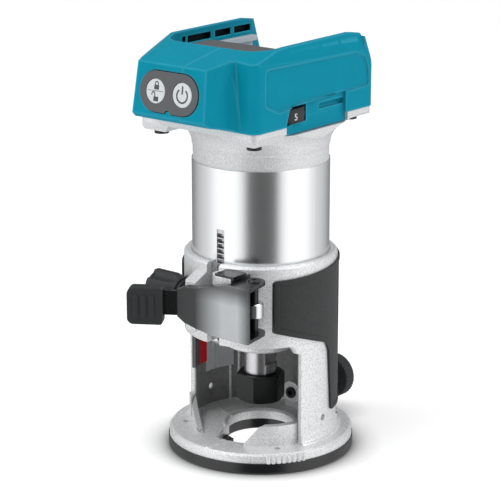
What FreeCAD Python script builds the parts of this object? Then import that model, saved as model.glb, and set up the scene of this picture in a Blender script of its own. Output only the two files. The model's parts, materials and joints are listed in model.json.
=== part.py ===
import FreeCAD, Part
import math
import os

# Trim router, cordless, millimetres.
# Origin: on the motor axis at the underside of the base plate.
# +Z up along the spindle, -Y the switch-panel front, +X the speed-dial side.

V = FreeCAD.Vector

# ---- driving dimensions ------------------------------------------------
TUBE_R = 32.5             # motor tube, 65 mm diameter
BORE_R = 32.55            # clamp bore around the tube
CASTING_R = 36.4          # outside of collar, legs and back wall
WALL_IN_R = 33.4          # inside of legs and back wall
PLATE_R = 44.6
PLATE_H = 5.2
FLANGE_R = 44.2
FLANGE_TOP = 9.6
SPLIT_Z = 10.5            # plane between the flange node and the wall node of the casting
COLLAR_Z0 = 59.0
COLLAR_Z1 = 98.0
OPENING_R = 16.0          # opening in the casting
PLATE_OPENING_R = 17.1    # opening in the base plate
WINDOW_EDGE_DEG = -19.5   # right edge of the front window; the left one mirrors it
TUBE_Z0 = 58.0
TUBE_Z1 = 142.0
FLOOR_Z = 164.5           # joint between motor flange and head shells
HEAD_X = 35.0
HEAD_FRONT = -47.0
HEAD_REAR = 41.6
SPLIT_X = 6.5             # parting plane of the two head shells
BAY_X = 30.5
BAY_FRONT = -36.0
BAY_FLOOR = 181.0
BAY_CORNER_R = 12.0

CLAMP_Y = -36.3           # axis shared by clamp bolt, pinion and depth knob
CLAMP_Z = 80.5
SLIT_X0 = -2.5
SLIT_X1 = 4.5
RACK_X0 = 0.4
RACK_X1 = 4.4
PINION_TEETH = 12
PITCH = 2.5               # rack pitch
PITCH_R = PINION_TEETH * PITCH / (2 * math.pi)
ADDENDUM = 0.72
DEDENDUM = 0.95
PIVOT_X = 25.7            # lever pivot
PIVOT_Y = CLAMP_Y
LEVER_Z0 = 68.6
LEVER_Z1 = 94.2
SHEET = 1.6
GUIDE_Z = 17.9            # rear guide clamp screw
PANEL_C = V(0, -63.7, 181.8)
PANEL_TILT = -7.5
DIAL_X = 24.0
DIAL_Y = -16.3
DIAL_R = 11.3


# ---- helpers -----------------------------------------------------------
def box(x0, x1, y0, y1, z0, z1):
    return Part.makeBox(x1 - x0, y1 - y0, z1 - z0, V(x0, y0, z0))


def cyl(r, z0, z1, x=0.0, y=0.0):
    return Part.makeCylinder(r, z1 - z0, V(x, y, z0))


def cyl_x(r, x0, x1, y, z):
    return Part.makeCylinder(r, x1 - x0, V(x0, y, z), V(1, 0, 0))


def cyl_y(r, y0, y1, x, z):
    return Part.makeCylinder(r, y1 - y0, V(x, y0, z), V(0, 1, 0))


def cone(r0, r1, z0, z1, x=0.0, y=0.0):
    return Part.makeCone(r0, r1, z1 - z0, V(x, y, z0))


def ring(r_out, r_in, z0, z1, x=0.0, y=0.0):
    return cyl(r_out, z0, z1, x, y).cut(cyl(r_in, z0 - 1, z1 + 1, x, y))


def sector(r_out, r_in, z0, z1, a0, a1):
    """Part of a ring between two angles in degrees, measured from +X."""
    wedge = Part.makeCylinder(r_out, z1 - z0, V(0, 0, z0), V(0, 0, 1), a1 - a0)
    wedge.rotate(V(0, 0, 0), V(0, 0, 1), a0)
    if r_in <= 0:
        return wedge
    return wedge.cut(cyl(r_in, z0 - 1, z1 + 1))


def prism(points, direction):
    loop = Part.makePolygon(points + [points[0]])
    return Part.Face(loop).extrude(direction)


def prism_x(pts, x0, x1):
    return prism([V(x0, y, z) for y, z in pts], V(x1 - x0, 0, 0))


def prism_y(pts, y0, y1):
    return prism([V(x, y0, z) for x, z in pts], V(0, y1 - y0, 0))


def prism_z(pts, z0, z1):
    return prism([V(x, y, z0) for x, y in pts], V(0, 0, z1 - z0))


def polar(r, deg, z=0.0):
    a = math.radians(deg)
    return V(r * math.cos(a), r * math.sin(a), z)


def fuse(shapes):
    return shapes[0].multiFuse(shapes[1:]).removeSplitter()


def mirror_x(shape):
    return shape.mirror(V(0, 0, 0), V(1, 0, 0))


def edges_along(shape, axis, keep=lambda c: True):
    """Straight edges parallel to an axis (0 X, 1 Y, 2 Z) whose centre passes keep."""
    found = []
    for edge in shape.Edges:
        if len(edge.Vertexes) != 2 or not isinstance(edge.Curve, Part.Line):
            continue
        a, b = [v.Point for v in edge.Vertexes]
        step = [abs(b.x - a.x), abs(b.y - a.y), abs(b.z - a.z)]
        others = [step[i] for i in range(3) if i != axis]
        if max(others) < 1e-6 and keep(edge.CenterOfMass):
            found.append(edge)
    return found


def rounded(shape, r, axis, keep=lambda c: True):
    edges = edges_along(shape, axis, keep)
    return shape.makeFillet(r, edges) if edges else shape


def plate(x0, x1, y0, y1, z0, z1, r):
    return rounded(box(x0, x1, y0, y1, z0, z1), r, 2)


def hexagon(across_flats, z0, z1, turn=0.0):
    r = across_flats / math.sqrt(3)
    pts = []
    for k in range(6):
        p = polar(r, turn + 60 * k)
        pts.append((p.x, p.y))
    return prism_z(pts, z0, z1)


def on_panel(shape):
    """Place a shape modelled at the origin, facing -Y, onto the tilted switch panel."""
    placed = shape.copy()
    placed.rotate(V(0, 0, 0), V(1, 0, 0), PANEL_TILT)
    placed.translate(PANEL_C)
    return placed


os.makedirs("parts", exist_ok=True)


def save(name, shape):
    shape.exportStep("parts/" + name + ".step")


# ---- base plate and its screws -----------------------------------------
PLATE_SCREWS = [(28.4, -22.4), (-28.4, -22.4), (28.4, 21.2), (-28.4, 21.2)]


def base_plate():
    disc = cyl(PLATE_R, 0.7, PLATE_H).fuse(cone(PLATE_R - 0.7, PLATE_R, 0, 0.7))
    disc = disc.cut(cyl(PLATE_OPENING_R, -1, PLATE_H + 1))
    disc = disc.cut(sector(25.5, 8, -1, PLATE_H + 1, -100, -62))
    for x, y in PLATE_SCREWS:
        disc = disc.cut(cyl(2.2, -1, PLATE_H + 1, x, y))
        disc = disc.cut(cone(4.2, 2.2, 0, 2.2, x, y))
    return disc.removeSplitter()


def screw_top(y):
    """The rear screws run up into the back wall, the front ones end inside the flange."""
    return 15.0 if y > 0 else 8.6


def plate_screw(x, y):
    head = cone(3.9, 2.0, 0.3, 2.2, x, y)
    body = head.fuse(cyl(2.0, 2.1, screw_top(y), x, y))
    slot = box(x - 2.4, x + 2.4, y - 0.45, y + 0.45, 0, 1.3)
    cross = box(x - 0.45, x + 0.45, y - 2.4, y + 2.4, 0, 1.3)
    return body.cut(slot).cut(cross)


# ---- base casting --------------------------------------------------------
def casting_flange():
    disc = cyl(FLANGE_R, PLATE_H, 8.7)
    disc = disc.fuse(cone(FLANGE_R, 42.9, 8.7, FLANGE_TOP))
    disc = disc.cut(sector(FLANGE_R + 1, 42.9, 7.3, FLANGE_TOP + 1, -180, -118))
    disc = disc.fuse(sector(43.3, 41.0, 7.0, 8.4, -180, -118))
    for k in range(8):
        p = polar(FLANGE_R - 0.2, -46 + 3.2 * k)
        disc = disc.fuse(cyl(0.9, PLATE_H, 9.0, p.x, p.y))
    for k in range(6):
        p = polar(FLANGE_R - 0.2, 196 + 3.2 * k)
        disc = disc.fuse(cyl(0.9, PLATE_H, 7.2, p.x, p.y))
    lip = sector(18.4, OPENING_R, FLANGE_TOP, 10.4, -20, 246)
    return fuse([disc, lip])


def flange_cuts():
    hole = cyl(OPENING_R, 0, 12)
    throat = cone(OPENING_R, OPENING_R + 1.2, 9.3, 10.5)
    front = sector(29.6, 8, 0, 12, -97, -22)
    side = prism_z([(-8.6, -12.0), (-8.6, -17.5), (-3.0, -28.7), (1.0, -29.2), (1.0, -12.0)], 0, 12)
    return fuse([hole, throat, front, side])


def back_wall():
    return sector(CASTING_R, WALL_IN_R, FLANGE_TOP - 0.5, COLLAR_Z0 + 0.5,
                  WINDOW_EDGE_DEG, 180 - WINDOW_EDGE_DEG)


def leg_foot():
    """Flare that carries the legs and the back wall down into the flange."""
    pts = [(CASTING_R - 1.0, FLANGE_TOP - 0.3), (CASTING_R + 2.6, FLANGE_TOP - 0.3),
           (CASTING_R + 0.9, 11.4), (CASTING_R - 0.1, 15.5), (CASTING_R - 1.0, 15.5)]
    face = Part.Face(Part.makePolygon([V(x, 0, z) for x, z in pts + [pts[0]]]))
    foot = face.revolve(V(0, 0, 0), V(0, 0, 1), 180 - 2 * WINDOW_EDGE_DEG)
    foot.rotate(V(0, 0, 0), V(0, 0, 1), WINDOW_EDGE_DEG)
    return foot


def guard_wall():
    wall = sector(33.2, 30.0, FLANGE_TOP - 0.5, 19.4, -65, WINDOW_EDGE_DEG + 2)
    slope = prism_y([(5, 9.6), (13.4, 9.6), (20.6, 19.4), (20.6, 25), (5, 25)], -40, -15)
    return wall.cut(slope)


def left_fin():
    """Sloping wall that runs from the left leg down to the front of the flange."""
    a = V(-33.4, -12.0, 0)
    b = V(-11.5, -31.0, 0)
    u = (b - a).normalize()
    n = V(-u.y, u.x, 0) * 1.5
    pts = [a + n, b + n, b - n, a - n]
    wall = prism([V(p.x, p.y, FLANGE_TOP - 0.5) for p in pts], V(0, 0, 14))
    slope = prism_y([(-37, 21.5), (-33.4, 20.5), (-22.0, 14.0), (-11.0, FLANGE_TOP + 0.2), (-5, 9), (-5, 32),
                     (-37, 32)], -40, -5)
    return wall.cut(slope).common(cyl(37.5, 0, 40))


def collar():
    body = cyl(CASTING_R, COLLAR_Z0, COLLAR_Z1 - 1.2)
    body = body.fuse(cone(CASTING_R, CASTING_R - 1.2, COLLAR_Z1 - 1.2, COLLAR_Z1))
    haunch = sector(CASTING_R, WALL_IN_R, 55.0, COLLAR_Z0 + 0.5, -40, -18)
    haunch = haunch.cut(cyl_x(9.0, 20, 45, -22.3, 51.8))
    return fuse([body, haunch, mirror_x(haunch)])


def clamp_ears():
    left = box(-9.0, SLIT_X0, -44.8, -30.0, 66.5, 93.4)
    slope = prism_x([(-36.0, 93.6), (-46.0, 89.2), (-46.0, 96), (-36.0, 96)], -10, -2)
    left = left.cut(slope)
    left = rounded(left, 1.2, 2, lambda c: c.y < -40 and c.x < -8)
    right = box(SLIT_X1, 18.2, -43.8, -26.0, 66.5, 95.2)
    right = right.cut(box(SLIT_X1 - 1, 8.2, -46, -40.5, 60, 99))
    right = rounded(right, 1.0, 2, lambda c: c.y < -42 and c.x < 9)
    return fuse([left, right]).cut(cyl(TUBE_R, 60, 99))


def guide_boss():
    inner = cyl_y(5.6, 24.0, 34.5, 0, GUIDE_Z)
    foot = box(-5.6, 5.6, 26.0, 34.5, FLANGE_TOP - 0.4, GUIDE_Z)
    outer = cyl_y(8.5, 34.5, 42.0, 0, GUIDE_Z)
    web = box(-8.5, 8.5, 35.0, 41.0, FLANGE_TOP - 0.4, GUIDE_Z)
    return fuse([inner, foot, outer, web])


def index_ribs():
    front = box(1.4, 3.4, -42.8, -30.2, FLANGE_TOP - 0.2, FLANGE_TOP + 0.5)
    left = box(-14.5, 0, -1.0, 1.0, FLANGE_TOP - 0.2, FLANGE_TOP + 0.5)
    left.rotate(V(0, 0, 0), V(0, 0, 1), -28)
    left.translate(V(-15.6, -3.9, 0))
    return [front, left]


def inner_ribs():
    ribs = []
    for deg in (148, 156, 60, 48):
        p = polar(33.6, deg)
        ribs.append(cyl(0.8, FLANGE_TOP, 58.0, p.x, p.y))
    return ribs


def knob_pocket():
    """Relief in the collar for the depth knob and the tube it turns."""
    flutes = cyl_x(9.1, -45.0, -21.0, CLAMP_Y, CLAMP_Z)
    taper = Part.makeCone(9.1, 7.5, 4.0, V(-21.0, CLAMP_Y, CLAMP_Z), V(1, 0, 0))
    hub = cyl_x(6.4, -18.0, -15.2, CLAMP_Y, CLAMP_Z)
    neck = cyl_x(5.4, -16.0, -9.0, CLAMP_Y, CLAMP_Z)
    return fuse([flutes, taper, hub, neck])


def base_casting():
    body = casting_flange().cut(flange_cuts())
    solids = [body, back_wall(), guard_wall(), left_fin(), collar(), clamp_ears()]
    solids += [leg_foot(), guide_boss()] + index_ribs() + inner_ribs()
    body = fuse(solids)
    body = body.cut(cyl(BORE_R, 42.0, COLLAR_Z1 + 1))
    body = body.cut(cone(BORE_R, BORE_R + 0.8, COLLAR_Z1 - 0.8, COLLAR_Z1))
    body = body.cut(box(SLIT_X0, SLIT_X1, -46, -20, COLLAR_Z0 - 6, COLLAR_Z1 + 1))
    body = body.cut(cyl_x(3.75, -20, SLIT_X0 + 1, CLAMP_Y, CLAMP_Z)).cut(knob_pocket())
    body = body.cut(cyl_x(2.6, SLIT_X1 - 1, 20, CLAMP_Y, CLAMP_Z))
    body = body.cut(cyl_y(2.75, 20, 45, 0, GUIDE_Z))
    body = body.cut(marker_pocket(0.0))
    for x, y in PLATE_SCREWS:
        body = body.cut(cyl(2.0, 0, screw_top(y), x, y))
        body = body.cut(cyl(1.5, 5, FLANGE_TOP + 0.4, x, y))
    for sign in (-1, 1):
        body = body.cut(cyl_x(1.6, sign * 38 - 5, sign * 38 + 5, 2.2, 19.8))
    return body.removeSplitter()


def casting_nodes():
    """The one casting as three nodes that meet face to face: flange, wall with legs, clamp collar."""
    body = base_casting()
    levels = [0.0, SPLIT_Z, COLLAR_Z0, 120.0]
    nodes = []
    for z0, z1 in zip(levels, levels[1:]):
        nodes.append(body.common(box(-60, 60, -60, 60, z0, z1)))
    return nodes


# ---- strips let into the left inside wall --------------------------------
MARKER_Z0 = 34.0
MARKER_Z1 = 57.0
SCALE_Z0 = 28.5


def wall_strip(a0, a1, z0, z1, gap):
    return sector(34.5 + gap, 32.75, z0 - gap, z1 + gap, a0, a1)


def marker_pocket(gap):
    low = wall_strip(153.0, 183.0, SCALE_Z0, MARKER_Z1, gap)
    return low.fuse(wall_strip(183.0, 204.0, MARKER_Z0, MARKER_Z1, gap))


def dark_strip():
    return wall_strip(193.6, 204.0, MARKER_Z0, MARKER_Z1, 0)


def red_strip():
    return wall_strip(183.0, 193.6, MARKER_Z0, MARKER_Z1, 0)


def scale_strip():
    strip = wall_strip(153.0, 183.0, SCALE_Z0, MARKER_Z1, 0)
    for deg in (176.5, 171.0):
        p = polar(32.9, deg)
        strip = strip.cut(cyl(0.7, SCALE_Z0 - 1, MARKER_Z1 + 1, p.x, p.y))
    return strip


# ---- grips -----------------------------------------------------------------
def grip_outline(inset):
    i = inset
    return [(-24.6 + i, 66.6 + i), (-24.6 + i, 91.4 - i), (31.5 - i, 95.4 - i), (31.5 - i, 22.0 + i),
            (8.2 + i, 22.0 + i), (5.4 + i, 53.0 + i * 0.6), (2.6 + i, 57.4 + i)]


def grip(sign):
    slab = prism_x(grip_outline(0.0), 18, 45)
    slab = rounded(slab, 1.6, 0)
    shell = ring(37.5, CASTING_R + 0.02, 15, 99).common(slab)
    panel = prism_x(grip_outline(1.8), 18, 45).common(ring(39.5, 37.15, 15, 99))
    shell = shell.cut(panel)
    for deg in (29.5, 36.0, 42.5):
        p = polar(37.75, deg)
        shell = shell.cut(cyl(1.3, 62.0, 92.0, p.x, p.y))
    shell = shell.cut(cyl_x(2.4, 30, 45, 2.2, 19.8))
    return shell if sign > 0 else mirror_x(shell)


# ---- clamp: saddle, bolt, nut ------------------------------------------------
def clamp_saddle():
    top = box(8.6, 19.6, -43.6, -34.2, 95.2, 96.5)
    skirt = box(18.2, 19.6, -43.6, -31.6, 70.0, 95.2)
    part = top.fuse(skirt).cut(cyl(CASTING_R + 0.3, 60, 99))
    part = part.cut(cyl_x(2.7, 17, 21, CLAMP_Y, CLAMP_Z))
    return part.removeSplitter()


def clamp_bolt():
    rod = cyl_x(2.5, -34.6, PIVOT_X - 2.0, CLAMP_Y, CLAMP_Z)
    eye = cyl(4.3, CLAMP_Z - 3.6, CLAMP_Z + 3.6, PIVOT_X, PIVOT_Y)
    eye = eye.common(Part.makeSphere(5.2, V(PIVOT_X, PIVOT_Y, CLAMP_Z)))
    return rod.fuse(eye).cut(cyl(2.05, 70, 92, PIVOT_X, PIVOT_Y)).removeSplitter()


def nut_x(across_flats, bore, x0, x1, y, z):
    nut = hexagon(across_flats, 0, x1 - x0)
    nut = nut.common(cone(across_flats / 2 + 1.4, across_flats / 2 - 0.2, -0.4, x1 - x0 + 0.6))
    nut = nut.cut(cyl(bore, -1, x1 - x0 + 1))
    nut.rotate(V(0, 0, 0), V(0, 1, 0), 90)
    nut.translate(V(x0, y, z))
    return nut


def clamp_nut():
    nut = nut_x(8.0, 2.5, 0, 3.0, 0, 0)
    nut.rotate(V(1.5, 0, 0), V(0, 0, 1), 180)
    nut.translate(V(-32.66, CLAMP_Y, CLAMP_Z))
    return nut


# ---- cam lever ------------------------------------------------------------------
def lever_flange(z0):
    cam = cyl(5.6, z0, z0 + SHEET, PIVOT_X - 0.35, PIVOT_Y - 0.35)
    outline = [(20.4, -49.9), (33.3, -49.9), (31.2, PIVOT_Y - 1.0), (20.6, PIVOT_Y - 3.0), (20.4, -45.4)]
    arm = prism_z(outline, z0, z0 + SHEET)
    return cam.fuse(arm)


LEVER_FRONT = -50.0
BOW_X = 14.0              # left of this the web bows away from the casting
BOW = 0.01115             # depth of the bow per square of the distance from BOW_X
LEVER_RISE = 1.5          # lift of the lever's free end


def web_sheet(depth):
    """Curved wall that the web and its rims are cut from, this deep behind the web's front face."""
    pts = [V(34.0, LEVER_FRONT, 0), V(BOW_X, LEVER_FRONT, 0)]
    curve = [V(BOW_X - 2.0 * k, LEVER_FRONT - BOW * (2.0 * k) ** 2, 0) for k in range(11)]
    bow = Part.BSplineCurve()
    bow.interpolate(curve)
    end = curve[-1]
    rest = Part.makePolygon([end, end + V(0, depth, 0)])
    back = Part.BSplineCurve()
    back.interpolate([p + V(0, depth, 0) for p in curve])
    close = Part.makePolygon([pts[1] + V(0, depth, 0), pts[0] + V(0, depth, 0), pts[0], pts[1]])
    edges = bow.toShape().Edges + rest.Edges + back.toShape().Edges + close.Edges
    face = Part.Face(Part.Wire(Part.__sortEdges__(edges)))
    face.translate(V(0, 0, LEVER_Z0 - 2))
    return face.extrude(V(0, 0, LEVER_Z1 - LEVER_Z0 + 4))


def lever_web():
    top = [(33.3, LEVER_Z1), (20.6, LEVER_Z1), (10.1, 91.7), (3.1, 90.1), (-2.8, 90.0)]
    low = [(-2.1, 72.7), (3.1, 70.7), (12.0, LEVER_Z0), (33.3, LEVER_Z0)]
    outline = top + [(-5.3, 88.7), (-5.3, 75.5)] + low
    web = web_sheet(SHEET).common(prism_y(outline, -60, -40))
    rims = web_sheet(4.4)
    rim_top = prism_y(top[1:] + [(x, z - SHEET) for x, z in reversed(top[1:])], -60, -40)
    rim_low = prism_y([(20.6, LEVER_Z0)] + low[2::-1] + [(x, z + SHEET) for x, z in low[:3]]
                      + [(20.6, LEVER_Z0 + SHEET)], -60, -40)
    return fuse([web, rims.common(rim_top), rims.common(rim_low)])


def at_bend(shape):
    """Place a shape modelled along -X from the origin onto the end of the web, swung out by 33 degrees."""
    shape.rotate(V(0, 0, 0), V(0, 0, 1), 33)
    shape.translate(V(-5.1, -54.05, LEVER_RISE))
    return shape


TAB_X = -6.6              # root of the finger tab, along the neck
STUB_X = TAB_X - 7.4


def lever_arm():
    arm = fuse([lever_web(), lever_flange(LEVER_Z1 - SHEET), lever_flange(LEVER_Z0)])
    neck = at_bend(box(TAB_X, 0.8, 0, SHEET, 74.6, 86.4))
    stub = at_bend(box(STUB_X, TAB_X + 0.5, 0, SHEET, 76.0, 85.0))
    arm = fuse([arm, neck, stub])
    arm = arm.cut(cyl(2.0, 60, 99, PIVOT_X, PIVOT_Y))
    return arm.removeSplitter()


def lever_tab():
    """Moulded finger tab with three ridges, moulded round the stub of the arm."""
    tab = box(TAB_X - 16.6, TAB_X, -2.6, 4.0, 70.4, 87.8)
    tab = rounded(tab, 3.0, 1, lambda c: c.x < TAB_X - 10)
    tab = rounded(tab, 1.5, 1, lambda c: c.x > TAB_X - 5)
    for k in range(3):
        x = TAB_X - 12.4 + 3.7 * k
        ridge = box(x - 0.95, x + 0.95, -3.2, -2.4, 74.6, 83.4)
        ends = [cyl_y(0.95, -3.2, -2.4, x, z) for z in (74.6, 83.4)]
        tab = tab.fuse(fuse([ridge] + ends))
    tab = tab.cut(box(STUB_X, TAB_X + 1, 0, SHEET, 76.0, 85.0))
    return at_bend(tab.removeSplitter())


def lever_pin():
    shank = cyl(2.0, LEVER_Z0 - 0.3, LEVER_Z1 + 0.3, PIVOT_X, PIVOT_Y)
    heads = []
    for z0, z1, r0, r1 in ((LEVER_Z1, LEVER_Z1 + 0.7, 3.0, 2.5), (LEVER_Z0 - 0.7, LEVER_Z0, 2.5, 3.0)):
        heads.append(cone(r0, r1, z0, z1, PIVOT_X, PIVOT_Y))
    pin = fuse([shank] + heads)
    return pin.cut(cyl(1.2, LEVER_Z1 + 0.2, LEVER_Z1 + 1, PIVOT_X, PIVOT_Y))


# ---- depth adjustment: rack, pinion, knob -----------------------------------------
RACK_Z0 = TUBE_Z0
RACK_STEP_Z = 63.0        # below this the rack is thinner, to pass outside the end bell
RACK_Z1 = 113.4
RACK_BACK_Y = -29.0
PITCH_LINE_Y = CLAMP_Y + PITCH_R


def rack_blank(gap):
    tip_y = PITCH_LINE_Y - ADDENDUM
    bar = box(RACK_X0 - gap, RACK_X1 + gap, tip_y, RACK_BACK_Y + gap, RACK_STEP_Z, RACK_Z1)
    foot = box(RACK_X0 - gap, RACK_X1 + gap, tip_y, RACK_BACK_Y - 1.05, RACK_Z0, RACK_STEP_Z + 0.5)
    return bar.fuse(foot).removeSplitter()


def depth_rack():
    """Rack whose tooth gap is centred on the pinion axis height."""
    bar = rack_blank(0.0)
    root = PITCH_LINE_Y + DEDENDUM
    tip = PITCH_LINE_Y - ADDENDUM - 0.5
    half_root = PITCH / 4 - DEDENDUM * math.tan(math.radians(20)) + 0.14
    half_tip = PITCH / 4 + (ADDENDUM + 0.5) * math.tan(math.radians(20)) + 0.14
    first = math.ceil((RACK_Z0 - CLAMP_Z) / PITCH)
    last = math.floor((RACK_Z1 - 1.0 - CLAMP_Z) / PITCH)
    for k in range(first, last + 1):
        z = CLAMP_Z + k * PITCH
        gap = prism_x([(root, z - half_root), (root, z + half_root), (tip, z + half_tip), (tip, z - half_tip)],
                      RACK_X0 - 1, RACK_X1 + 1)
        bar = bar.cut(gap)
    return bar


def pinion_shaft():
    """Hollow pinion; one tooth points at the rack gap level with the axis."""
    root_r = PITCH_R - DEDENDUM + 0.08
    tip_r = PITCH_R + ADDENDUM
    width = RACK_X1 - RACK_X0 - 0.4
    teeth = [cyl(root_r, 0, width)]
    flank = ((root_r - 0.4, 0.96), (PITCH_R, 0.50), (tip_r, 0.20))
    for k in range(PINION_TEETH):
        pts = [(r, -half) for r, half in flank]
        pts += [(r, half) for r, half in reversed(flank)]
        tooth = prism_z(pts, 0, width)
        tooth.rotate(V(0, 0, 0), V(0, 0, 1), 90 + 360.0 * k / PINION_TEETH)
        teeth.append(tooth)
    gear = fuse(teeth)
    gear.rotate(V(0, 0, 0), V(0, 1, 0), 90)
    gear.translate(V(RACK_X0 + 0.2, CLAMP_Y, CLAMP_Z))
    tube = cyl_x(3.7, -29.6, RACK_X0 + 0.3, CLAMP_Y, CLAMP_Z)
    return fuse([gear, tube]).cut(cyl_x(2.55, -50, 20, CLAMP_Y, CLAMP_Z)).removeSplitter()


def depth_knob():
    body = cyl(8.6, 0, 12.5)
    body = body.fuse(cone(8.6, 7.0, 12.5, 16.5))
    for k in range(6):
        p = polar(12.2, 30 + 60 * k)
        body = body.cut(cyl(5.0, -1, 20, p.x, p.y))
    body = body.fuse(cyl(6.0, 0, 18.2)).fuse(cyl(5.0, 18.0, 24.6)).fuse(cyl(7.6, 0, 1.2))
    body = body.cut(cyl(5.0, -1, 4.2))
    body = body.removeSplitter()
    body.rotate(V(0, 0, 0), V(0, 1, 0), 90)
    body.translate(V(-33.8, CLAMP_Y, CLAMP_Z))
    return body.cut(cyl_x(3.7, -40, 0, CLAMP_Y, CLAMP_Z))


# ---- rear guide clamp --------------------------------------------------------------
def guide_washer():
    part = cyl_y(7.4, 42.05, 43.4, 0, GUIDE_Z)
    return part.cut(cyl_y(2.76, 40, 50, 0, GUIDE_Z))


def guide_screw():
    rod = cyl_y(2.70, 22.9, 58.5, 0, GUIDE_Z)
    return rod.cut(cyl_y(1.3, 22.0, 24.4, 0, GUIDE_Z))


def guide_knob():
    disc = cyl(10.6, 0, 6.2)
    for k in range(40):
        p = polar(10.6, 9 * k)
        disc = disc.fuse(cyl(0.42, 0.5, 5.7, p.x, p.y))
    disc = disc.fuse(cyl(6.2, 6.2, 18.0))
    disc = disc.cut(cyl(7.5, -1, 0.9))
    disc = disc.removeSplitter()
    disc.rotate(V(0, 0, 0), V(1, 0, 0), 90)
    disc.translate(V(0, 61.5, GUIDE_Z))
    return disc.cut(cyl_y(2.70, 40, 58.5, 0, GUIDE_Z))


# ---- motor housing --------------------------------------------------------------------
def housing_tube():
    tube = cyl(TUBE_R, TUBE_Z0 + 1.0, TUBE_Z1)
    tube = tube.fuse(cone(TUBE_R - 1.0, TUBE_R, TUBE_Z0, TUBE_Z0 + 1.0))
    neck = cyl(TUBE_R - 0.5, TUBE_Z1, 150.0)
    step = cone(TUBE_R - 0.5, TUBE_R, 148.6, 149.6).fuse(cyl(TUBE_R, 149.6, 158.0))
    return fuse([tube, neck, step])


def housing_flare():
    """Neck that opens into the flange through a large fillet."""
    r = 13.0
    start = V(TUBE_R - 0.2, 0, 148.4)
    mid = V(TUBE_R - 0.2 + r * (1 - math.cos(math.pi / 4)), 0, 148.4 + r * math.sin(math.pi / 4))
    end = V(TUBE_R - 0.2 + r, 0, 148.4 + r)
    arc = Part.Arc(start, mid, end).toShape()
    close = Part.makePolygon([end, V(end.x, 0, FLOOR_Z), V(20, 0, FLOOR_Z), V(20, 0, 148.4), start])
    face = Part.Face(Part.Wire([arc] + close.Edges))
    return face.revolve(V(0, 0, 0), V(0, 0, 1), 360)


FLANGE_SCREWS = [(27.5, -38.5), (-27.5, -38.5), (27.5, 32.0), (-27.5, 32.0)]


def screw_seat(y):
    """Underside of the flange block that a head screw bears on."""
    return 158.2 if y < 0 else 160.8


def flange_draft():
    """Wedges that slope the outer faces of the flange blocks inwards towards the bottom."""
    side = prism_y([(34.7, 162.2), (31.8, 157.0), (45.0, 157.0), (45.0, 162.2)], -60, 60)
    front = prism_x([(-46.7, 162.2), (-44.0, 157.0), (-55.0, 157.0), (-55.0, 162.2)], -60, 60)
    rear = prism_x([(41.3, 163.4), (39.2, 158.0), (50.0, 158.0), (50.0, 163.4)], -60, 60)
    return [side, mirror_x(side), front, rear]


def housing_flange():
    outline = plate(-HEAD_X + 0.4, HEAD_X - 0.4, HEAD_FRONT + 0.4, HEAD_REAR - 0.4, 150, FLOOR_Z, 4.5)
    web = housing_flare().common(outline)
    skin = plate(-HEAD_X + 0.4, HEAD_X - 0.4, HEAD_FRONT + 0.4, HEAD_REAR - 0.4, 161.6, FLOOR_Z, 4.5)
    blocks = [box(13.5, 36.0, -50.0, -24.0, screw_seat(-1), FLOOR_Z).common(outline),
              box(-36.0, -16.5, -50.0, -24.0, screw_seat(-1), FLOOR_Z).common(outline)]
    for sign in (-1, 1):
        x0, x1 = sorted((sign * 18.3, sign * 36.0))
        blocks.append(box(x0, x1, 22.4, 45.0, screw_seat(1), FLOOR_Z).common(outline))
    arch = prism_y([(-20.0, 158.0), (-16.5, 161.6), (13.5, 161.6), (17.0, 158.0)], -50, -30)
    body = fuse([skin] + [block.cut(arch) for block in blocks])
    for wedge in flange_draft():
        body = body.cut(wedge)
    body = body.fuse(web)
    for sign in (-1, 1):
        x0, x1 = sorted((sign * 31.0, sign * 40.0))
        body = body.cut(box(x0, x1, -24.3, 21.0, 159.9, FLOOR_Z + 1))
    return body


def motor_housing():
    body = fuse([housing_tube(), housing_flange()])
    body = body.cut(cyl(TUBE_R - 2.5, TUBE_Z0 - 1, FLOOR_Z + 1))
    body = body.cut(rack_blank(0.0))
    body = body.cut(box(RACK_X0, RACK_X1, -34, PITCH_LINE_Y, TUBE_Z0 - 1, RACK_Z1))
    body = body.cut(box(RACK_X0, RACK_X1, -34, RACK_BACK_Y, TUBE_Z0 - 1, RACK_STEP_Z))
    for x, y in FLANGE_SCREWS:
        body = body.cut(cyl(2.05, 150, FLOOR_Z + 1, x, y)).cut(cyl(3.8, 150, screw_seat(y), x, y))
    return body.removeSplitter()


def end_bell():
    """Lower bearing cover that closes the tube."""
    r = TUBE_R - 2.5
    profile = [V(8.6, 0, 49.8), V(16.0, 0, 49.8), V(17.0, 0, 50.6), V(17.0, 0, 52.0), V(19.5, 0, 54.6),
               V(r - 1.0, 0, 56.6), V(r - 0.02, 0, 57.6), V(r - 0.02, 0, 62.5), V(r - 3.0, 0, 62.5),
               V(r - 4.0, 0, 59.6), V(16.5, 0, 57.8), V(14.6, 0, 57.8), V(14.6, 0, 62.0), V(11.0, 0, 62.0),
               V(11.0, 0, 54.2), V(8.6, 0, 52.6)]
    face = Part.Face(Part.makePolygon(profile + [profile[0]]))
    bell = face.revolve(V(0, 0, 0), V(0, 0, 1), 360)
    return bell


def bearing(r_out, r_in, z0, z1):
    outer = ring(r_out, r_out - 1.6, z0, z1)
    inner = ring(r_in + 1.5, r_in + 0.03, z0, z1)
    mid = (r_out + r_in) / 2
    balls = []
    for k in range(8):
        p = polar(mid, 45 * k, (z0 + z1) / 2)
        balls.append(Part.makeSphere((r_out - r_in - 3.1) / 2 + 0.25, p))
    cage = ring(mid + 0.5, mid - 0.5, z0 + 1.2, z1 - 1.2)
    return fuse([outer, inner, cage] + balls)


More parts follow.
